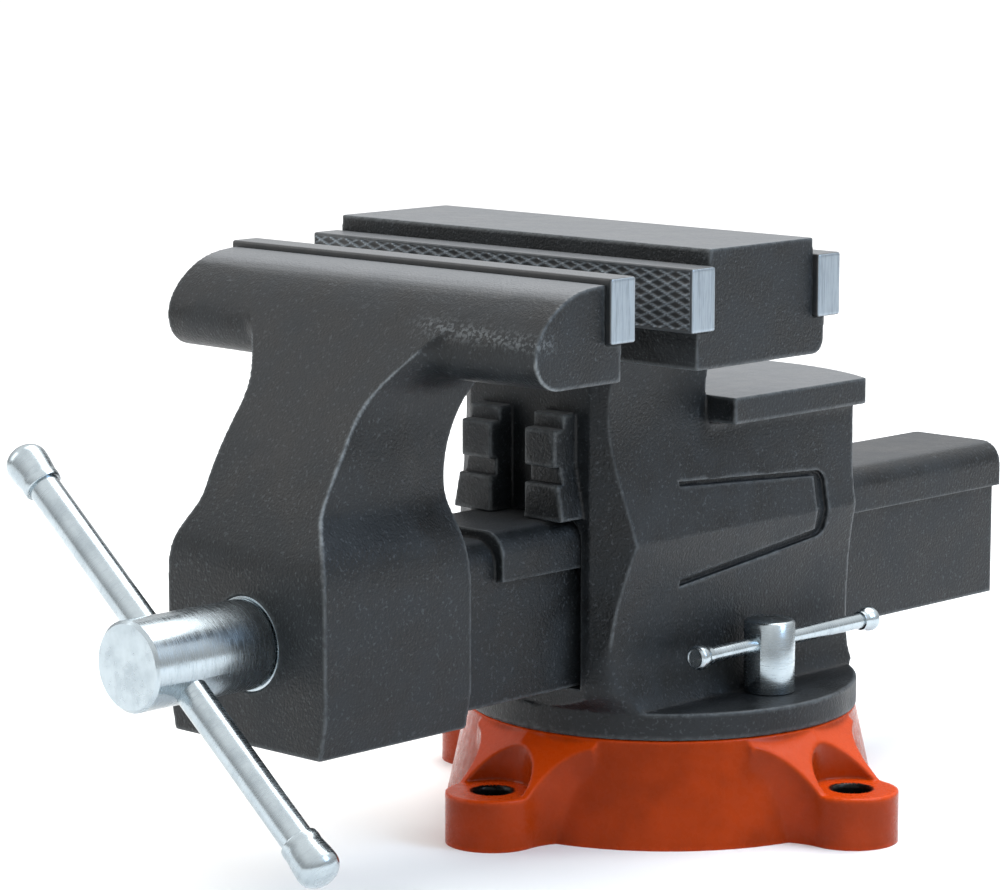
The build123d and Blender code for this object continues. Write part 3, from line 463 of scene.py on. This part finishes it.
# Where each casting's corners are eased, and which hollows are filled: weight, rounds, and whether the
# surface may only go outward. p is the points in millimetres.
def bodyWeights(p):
    x, y, z = np.abs(p[:, 0]), p[:, 1], p[:, 2]
    inTunnel = (x < 23.4) & (z < 107.5)
    seats = (z > 168.5) & (z < 193) & ((y < -69.3) | (y > -21.7))
    sideFrame = (x > 30) & (z > 76) & (z < 118) & (y > -36) & (y < 43)
    easing = np.where(inTunnel | seats | sideFrame, 0.15, 1.0) * np.where(z < 36.5, 0.2, 1.0)
    underAnvil = ease(z, 119, 124) * (1 - ease(z, 133, 135)) * ease(y, -19, -14) * ease(x, 26, 30)
    skirt = ease(z, 43.0, 43.6) * (1 - ease(z, 52, 60)) * ease(x, 24, 26)
    headNeck = ease(z, 146, 150) * (1 - ease(z, 160, 162)) * ease(x, 23, 26)
    foot = ease(z, 43.2, 44) * (1 - ease(z, 56, 68)) * ease(x, 24, 27) * (1 - ease(y, -48, -36))
    return easing, [(underAnvil, 36, True), (skirt, 20, True), (foot, 60, False), (headNeck, 80, True)]


def jawWeights(p):
    x, y, z = np.abs(p[:, 0]), p[:, 1], p[:, 2]
    inBar = (y > -126) & (z < 100) & (x < 18)
    seats = (z > 168.5) & (y > -121)
    hub = np.hypot(p[:, 0], z - 81) < 18
    bar = (y > -126.5) & (z < 106.5)
    easing = np.where(inBar | seats | hub, 0.15, np.where(bar, 0.5, 1.0))
    underBeam = ease(z, 118, 140) * (1 - ease(z, 190, 191)) * (1 - ease(y, -122, -119))
    return easing, [(underBeam, 270, True)]


def baseWeights(p):
    x, y, z = p[:, 0], p[:, 1], p[:, 2]
    radius = np.hypot(x, y)
    easing = np.where(radius < 63.5, 0.2, 1.0) * ease(z, 0.2, 1.5)
    lug = fromLug(x, y)
    blend = ease(lug, 13.6, 17) * ease(z, 2, 5) * (1 - ease(z, 31, 33.5)) * ease(radius, 64, 66)
    return easing, [(blend, 8, True)]


weightsOf = {"vise_body": bodyWeights, "moving_jaw": jawWeights, "swivel_base": baseWeights}


def storeMarks(mesh, **values):
    for name, value in values.items():
        mesh.attributes.new(name, "FLOAT", "POINT").data.foreach_set("value", value.astype(np.float32))


def cornerMarks(mesh, cell):  # distance out of the neighbourhood's mean, 0 to 1, for corners and for hollows
    points, edges, normals = pointsOf(mesh), edgesOf(mesh), normalsOf(mesh)
    mean = points
    for _ in range(int(5 / cell)):
        mean = neighbourMean(mean, edges)
    out = ((points - mean) * normals).sum(1)
    return ease(out, 0.12, 0.42), ease(-out, 0.12, 0.5)


# The neck is cast a little fuller than its plain outline: its front swells forward, most in the middle of
# its height, and its sides swell out with it.
def fullerNeck(p):
    z, front = p[:, 2], ease(-p[:, 1], 128, 146)
    sides = 1 - ease(np.abs(p[:, 0]), 38, 78)
    p[:, 1] -= 3.6 * front * ease(z, 100, 138) * (1 - ease(z, 142, 178)) * sides
    p[:, 0] *= 1 + 0.14 * front * ease(z, 94, 130) * (1 - ease(z, 134, 174)) * sides
    return p


def casting(node):
    choice = castings[node]
    mesh = applied(mergedCopy(node), "REMESH", mode="SHARP", octree_depth=choice["depth"], scale=0.95,
                   sharpness=1.0, use_remove_disconnected=False)
    if node == "moving_jaw":
        setPoints(mesh, fullerNeck(pointsOf(mesh)))
    easing, fills = weightsOf[node](pointsOf(mesh))
    for weight, rounds, fillOnly in fills:
        relax(mesh, weight, rounds, fillOnly)
    relax(mesh, easing, choice["easing"])
    points, normals = pointsOf(mesh), normalsOf(mesh)
    edge, hollow = cornerMarks(mesh, choice["cell"])
    height = points[:, 2]
    # Painted light from above: faces that look up get the lighter colour, on the base the sloping ones as
    # well; on the body and jaw only a third of it between 95 and 125 mm high and none below 90 mm.
    top = ease(normals[:, 2], 0.85, 0.98)
    if node == "swivel_base":
        top = ease(normals[:, 2], 0.25, 0.98)
    else:
        top *= 0.3 * ease(height, 90, 95) + 0.7 * ease(height, 125, 130)
    parting = np.zeros(len(points))
    if node == "moving_jaw":
        beam = ease(-points[:, 1], 137, 142) * ease(points[:, 0], 22, 40)
        parting = np.exp(-((points[:, 2] - 178 + 0.05 * points[:, 0]) / 2.4) ** 2) * beam
        # Painted highlight: on the neck's front the corner mark is narrowed and strengthened into a thin light
        # line along its crease.
        neck = ease(height, 108, 118) * (1 - ease(height, 168, 172)) * (points[:, 1] < -135)
        edge = np.where(neck > 0, edge ** 2 * (1 + 1.6 * neck), edge)
    bore, dust = np.zeros(len(points)), np.zeros(len(points))
    if node == "swivel_base":
        # The bolt holes' walls below 18.5 mm: bare iron, painted near-black in the material for the shade
        # inside them.
        bore = 1 - ease(fromLug(points[:, 0], points[:, 1]), 7.2, 7.6)
        bore *= height < 18.5
        dust = top * (1 - ease(fromLug(points[:, 0], points[:, 1]), 11, 15)) * ease(height, 16, 16.5)
    storeMarks(mesh, edge=edge, hollow=hollow, top=top, parting=parting, bore=bore, dust=dust)
    triangles = 2 * len(mesh.polygons)
    if triangles > mostTriangles:
        mesh = applied(mesh, "DECIMATE", ratio=mostTriangles / triangles, use_collapse_triangulate=True)
    piece = finishPiece(node + "_casting", mesh, node, smoothAngle=0)
    print("cast", node, len(mesh.polygons), "faces")
    return piece


for name in castings:
    casting(name)


# Jaw plates. Two sets of straight ridges cross the gripping face and stand up from it; the set that falls
# to the right is the prouder one. The height at a place is the taller of the two, and each ridge is a
# narrow bell across its own line. The pattern fades out at the edges and round the screws.
knurl = {"cell": 0.42, "acrossX": 7.2, "acrossZ": 3.05, "ridge": 0.26, "proud": 0.55, "second": 0.3,
         "border": 1.6, "screwClear": 7.4, "screwX": 45.0, "screwUp": 9.0}


def jawPlate(node, side):  # side is the way the gripping face looks along Y
    mesh = applied(mergedCopy(node), "REMESH", mode="VOXEL", voxel_size=knurl["cell"] * mm)
    points = pointsOf(mesh)
    low, high = nodeBox(node)
    faceY = high[1] if side > 0 else low[1]
    x, z = points[:, 0], points[:, 2]
    onFace = 1 - ease(np.abs(points[:, 1] - faceY), 0.3, 0.5)
    inside = np.minimum(np.minimum(x - low[0], high[0] - x), np.minimum(z - low[2], high[2] - z))
    away = np.hypot(np.abs(x) - knurl["screwX"], z - low[2] - knurl["screwUp"])
    clear = knurl["screwClear"]
    field = onFace * ease(inside, 0.5, knurl["border"]) * ease(away, clear - 0.6, clear)
    slope = math.hypot(1 / knurl["acrossX"], 1 / knurl["acrossZ"])
    crests = []
    for sign in (side, -side):
        phase = -sign * x / knurl["acrossX"] + z / knurl["acrossZ"]
        distance = np.abs(phase - np.round(phase)) / slope
        crests.append(np.exp(-(distance / knurl["ridge"]) ** 2))
    height = np.maximum(crests[0], crests[1] * knurl["second"] / knurl["proud"]) * knurl["proud"]
    points[:, 1] += side * (height - knurl["proud"]) * field
    bare = np.where(field > 0.5, np.maximum(crests[0], crests[1] * 0.6), 0.1)
    ends = ease(np.abs(normalsOf(mesh)[:, 0]), 0.6, 0.8) * (away > 10)
    bare = np.maximum(bare * onFace, ends)
    # painted light from above on the plate's up-facing faces, away from the screws
    top = ease(normalsOf(mesh)[:, 2], 0.85, 0.98) * (away > 10)
    setPoints(mesh, points)
    storeMarks(mesh, bare=bare, top=top)
    finishPiece(node + "_knurled", mesh, node, smoothAngle=0)


for name, side in (("front_jaw_plate", -1), ("moving_jaw_plate", 1), ("rear_jaw_plate", 1)):
    jawPlate(name, side)
print("jaw plates knurled")


# Turned parts: an outline of distance along the axis and radius, carried round the axis in even steps.
def rounded(outline):  # each corner (s, r, e) is cut back by e and bent through a quarter of a curve
    corners = [np.array(c[:2], float) for c in outline]
    made = [corners[0]]
    for i in range(1, len(outline) - 1):
        cut = outline[i][2] if len(outline[i]) > 2 else 0
        if cut:
            back = (corners[i - 1] - corners[i]) / np.linalg.norm(corners[i - 1] - corners[i])
            on = (corners[i + 1] - corners[i]) / np.linalg.norm(corners[i + 1] - corners[i])
            t = np.linspace(0, 1, 7)[:, None]
            made.extend((1 - t) ** 2 * (corners[i] + back * cut) + 2 * t * (1 - t) * corners[i]
                        + t * t * (corners[i] + on * cut))
        else:
            made.append(corners[i])
    return np.array(made + [corners[-1]])


def gridFaces(rows, columns):  # quads of a grid whose columns run round a loop
    row = np.arange(rows - 1)[:, None]
    column = np.arange(columns)[None, :]
    following = (column + 1) % columns
    return np.stack([row * columns + column, row * columns + following,
                     (row + 1) * columns + following, (row + 1) * columns + column], -1).reshape(-1, 4)


def closedMesh(name, points, faces):  # poles and seams joined, faces looking out
    mesh = bpy.data.meshes.new(name)
    mesh.from_pydata((points * mm).tolist(), [], faces.tolist())
    work = bmesh.new()
    work.from_mesh(mesh)
    bmesh.ops.remove_doubles(work, verts=work.verts, dist=1e-7)
    bmesh.ops.recalc_face_normals(work, faces=work.faces)
    work.to_mesh(mesh)
    work.free()
    return mesh


# A point of the surface is start + s * axis + r * (cos a * first + sin a * second).
def turned(outlines, start, axis, columns=96):
    axis = np.array(axis, float) / np.linalg.norm(axis)
    first = np.cross(axis, (0, 0, 1) if abs(axis[2]) < 0.9 else (1, 0, 0))
    first /= np.linalg.norm(first)
    second = np.cross(axis, first)
    angle = np.arange(columns) * 2 * math.pi / columns
    ring = np.cos(angle)[:, None] * first + np.sin(angle)[:, None] * second
    allPoints, allFaces, total = [], [], 0
    for outline in outlines:
        profile = rounded(outline)
        points = np.array(start) + profile[:, :1, None] * axis + profile[:, 1:, None] * ring[None]
        allPoints.append(points.reshape(-1, 3))
        allFaces.append(gridFaces(len(profile), columns) + total)
        total += len(profile) * columns
    return np.concatenate(allPoints), np.concatenate(allFaces)


handle = {"centre": (0, -219.5, 81.0), "rodR": 5.0, "knobAt": 78.7, "knobLong": 15.0,
          "neckR": 6.0, "knobR": 6.75}
lever = (math.cos(math.radians(handleTurn)), 0, -math.sin(math.radians(handleTurn)))


def handlePieces():
    inner = handle["knobAt"] - handle["knobLong"] / 2
    outer = handle["knobAt"] + handle["knobLong"] / 2
    end = inner + 7.0
    rod = [(-end, 0), (-end, handle["rodR"], 0.4), (end, handle["rodR"], 0.4), (end, 0)]
    points, faces = turned([rod], handle["centre"], lever)
    finishPiece("handle_rod_turned", closedMesh("rod", points, faces), "handle_rod", zincHandle)
    knob = [(inner, 0), (inner, handle["neckR"], 0.5), (inner + 1.6, handle["neckR"] + 0.15, 0.5),
            (inner + 3.2, handle["neckR"] + 0.05, 0.8), (inner + 8.0, handle["knobR"] - 0.1, 2.0),
            (outer - 3.2, handle["knobR"], 2.0), (outer - 0.7, handle["knobR"] - 2.4, 1.2), (outer, 2.4, 1.0),
            (outer, 0)]
    for node, way in (("handle_knob_lower", 1), ("handle_knob_upper", -1)):
        points, faces = turned([knob], handle["centre"], tuple(way * v for v in lever))
        finishPiece(node + "_turned", closedMesh(node, points, faces), node, zincHandle)


lockKnob = {"long": 7.0, "neckR": 3.2, "flatR": 2.6}


def lockPieces(side):
    low, high = nodeBox("lock_bar_" + side)
    centre = ((low[0] + high[0]) / 2, 0, (low[2] + high[2]) / 2)
    barR = (high[2] - low[2]) / 2
    rod = [(low[1], 0), (low[1], barR, 0.3), (high[1], barR, 0.3), (high[1], 0)]
    points, faces = turned([rod], centre, (0, 1, 0), 64)
    bar = "lock_bar_" + side
    finishPiece(bar + "_turned", closedMesh("bar", points, faces), bar, zincAlongBar)
    low, high = nodeBox("lock_knobs_" + side)
    knobR = (high[2] - low[2]) / 2
    outlines = []
    for end, way in ((high[1], -1), (low[1], 1)):
        inner = end + way * lockKnob["long"]
        neckR = lockKnob["neckR"]
        outlines.append([(inner, 0), (inner, neckR, 0.3), (inner - way * 2.2, neckR + 0.1, 0.8),
                         (inner - way * 3.8, knobR, 0.9), (end + way * 0.9, knobR, 0.9),
                         (end, lockKnob["flatR"] + 0.5, 0.4), (end + way * 0.25, lockKnob["flatR"], 0.2),
                         (end + way * 0.25, 0)])
    points, faces = turned(outlines, centre, (0, 1, 0), 64)
    knobs = "lock_knobs_" + side
    finishPiece(knobs + "_turned", closedMesh("knobs", points, faces), knobs, zincAlongBar)


handlePieces()
for side in ("right", "left"):
    lockPieces(side)
print("handle and lock bars turned")


# Spindle: its head keeps the CAD shape with the cross hole, cut off inside the block. The shank behind it
# is a square-shouldered thread: radius = root + depth * flank(turns), where turns counts along the helix
# as distance / pitch - angle / full turn, and flank rises and falls smoothly between crest and root.
thread = {"cutAt": -150.0, "startAt": -100.0, "pitch": 4.0, "depth": 1.5, "axisZ": 81.0,
          "crestR": 10.0, "columns": 72}


def spindlePiece():
    low, high = nodeBox("spindle_screw")
    mesh = mergedCopy("spindle_screw", 0.01)
    work = bmesh.new()
    work.from_mesh(mesh)
    everything = list(work.verts) + list(work.edges) + list(work.faces)
    cut = bmesh.ops.bisect_plane(work, geom=everything, plane_co=(0, thread["cutAt"] * mm, 0),
                                 plane_no=(0, 1, 0), clear_outer=True)
    rim = [e for e in cut["geom_cut"] if isinstance(e, bmesh.types.BMEdge)]
    bmesh.ops.contextual_create(work, geom=rim)
    work.to_mesh(mesh)
    work.free()
    columns = thread["columns"]
    y = np.arange(thread["cutAt"], high[1] - 1.0, thread["pitch"] / 10)
    angle = np.arange(columns) * 2 * math.pi / columns
    turns = y[:, None] / thread["pitch"] - angle[None] / (2 * math.pi)
    flank = ease(np.abs(turns - np.round(turns)), 0.17, 0.31)
    cutIn = ease(y, thread["startAt"], thread["startAt"] + 4) * (1 - ease(y, high[1] - 6, high[1] - 3))
    radius = thread["crestR"] - thread["depth"] * flank * cutIn[:, None]
    radius[0] = 0
    radius = np.concatenate([radius, np.full((1, columns), thread["crestR"] - 1.0), np.zeros((1, columns))])
    y = np.concatenate([y, [high[1], high[1]]])
    y[0] = y[1]
    points = np.stack([radius * np.cos(angle), np.broadcast_to(y[:, None], radius.shape),
                       thread["axisZ"] + radius * np.sin(angle)], -1).reshape(-1, 3)
    shank = closedMesh("shank", points, gridFaces(len(y), columns))
    work = bmesh.new()
    work.from_mesh(mesh)
    work.from_mesh(shank)
    work.to_mesh(mesh)
    work.free()
    finishPiece("spindle_screw_threaded", mesh, "spindle_screw", zincAlongBar, 30)


spindlePiece()
print("spindle threaded")


# Small machined parts: the CAD shape joined up, with its sharp edges broken by a narrow bevel.
broken = {"lock_bolt_right": 0.35, "lock_bolt_left": 0.35, "front_plate_screws": 0.2, "rear_plate_screws": 0.2,
          "moving_plate_screws": 0.2, "nut_screws": 0.25, "thrust_washer": 0.2, "clamp_plate": 0.3,
          "spindle_nut": 0.3, "spindle_collar": 0.3, "nut_washers": 0.2, "collar_pin": 0.2}


def smallPart(node, width):
    mesh = applied(mergedCopy(node, 0.005), "BEVEL", width=width * mm, segments=2, limit_method="ANGLE",
                   angle_limit=math.radians(50), use_clamp_overlap=True)
    finishPiece(node + "_finished", mesh, node)


for name, width in broken.items():
    smallPart(name, width)
print("small parts finished")
